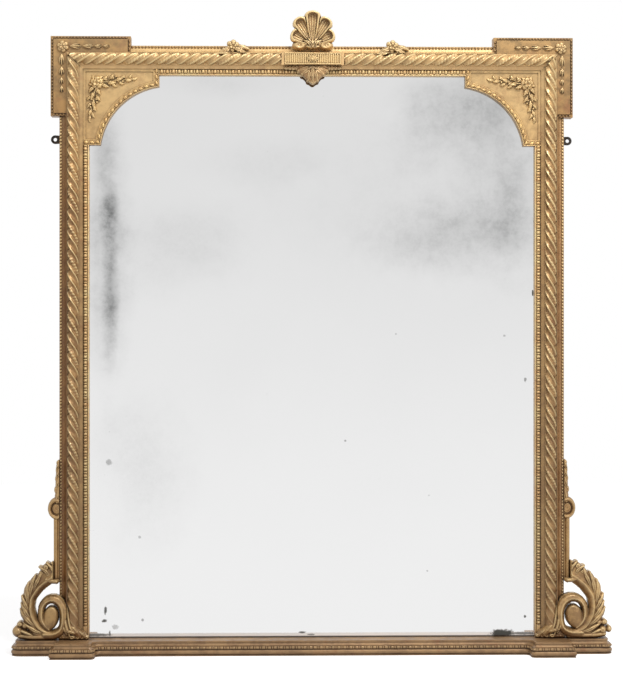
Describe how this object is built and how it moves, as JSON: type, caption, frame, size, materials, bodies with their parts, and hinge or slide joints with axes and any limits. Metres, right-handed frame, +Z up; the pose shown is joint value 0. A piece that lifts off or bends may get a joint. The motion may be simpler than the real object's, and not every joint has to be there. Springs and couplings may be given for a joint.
{
  "type": "overmantel mirror",
  "caption": "Rectangular giltwood overmantel mirror with twisted ribbon moulding, eared corners, concave spandrels, shell crest, scrolled side consoles and a breakfront plinth.",
  "frame": {"origin": "middle of the bounding box at the underside of the plinth", "axes": "+X to the viewer's right, +Y towards the wall at the back, +Z up; the front looks along -Y"},
  "size_m": [1.557, 0.145, 1.67],
  "materials": {
    "gilt": "worn gold leaf over gesso and red bole",
    "gilt_dark": "rubbed and darkened gold leaf over gesso",
    "pine": "bare aged pine",
    "mirror_plate": "foxed silvering behind glass",
    "iron": "dark forged iron"
  },
  "bodies": {
    "root": {"plinth_centre": "gilt_dark", "plinth_left": "gilt_dark", "plinth_right": "gilt_dark", "stile_left": "pine", "stile_right": "pine", "top_rail": "pine", "bottom_rail": "pine", "hollow_left": "gilt_dark", "hollow_right": "gilt_dark", "hollow_top": "gilt", "pearls_left": "gilt", "pearls_right": "gilt", "pearls_top": "gilt", "rope_left": "gilt", "rope_right": "gilt", "rope_top_left": "gilt", "rope_top_right": "gilt", "sight_edge_left": "gilt", "sight_edge_right": "gilt", "sight_edge_top": "gilt", "ear_left": "gilt", "ear_right": "gilt", "ear_pearls_left": "gilt", "ear_pearls_right": "gilt", "husk_drop_left": "gilt", "husk_drop_right": "gilt", "spandrel_left": "gilt", "spandrel_right": "gilt", "spandrel_edge_left": "gilt", "spandrel_edge_right": "gilt", "flower_spray_left": "gilt", "flower_spray_right": "gilt", "crest_block": "gilt", "crest_tablet": "gilt", "tablet_patera": "gilt", "crest_shell": "gilt", "crest_batten": "pine", "pendant_leaf": "gilt", "rose_left": "gilt", "rose_right": "gilt", "scroll_left": "gilt_dark", "scroll_right": "gilt_dark", "side_volute_left": "gilt_dark", "side_volute_right": "gilt_dark", "foot_leaf_left": "gilt_dark", "foot_leaf_right": "gilt_dark", "mirror_plate": "mirror_plate", "glazing_blocks": "pine", "backboards": "pine", "backboard_screws": "iron", "wall_lug_left": "iron", "wall_lug_right": "iron", "lug_screws": "iron"}
  },
  "joints": []
}
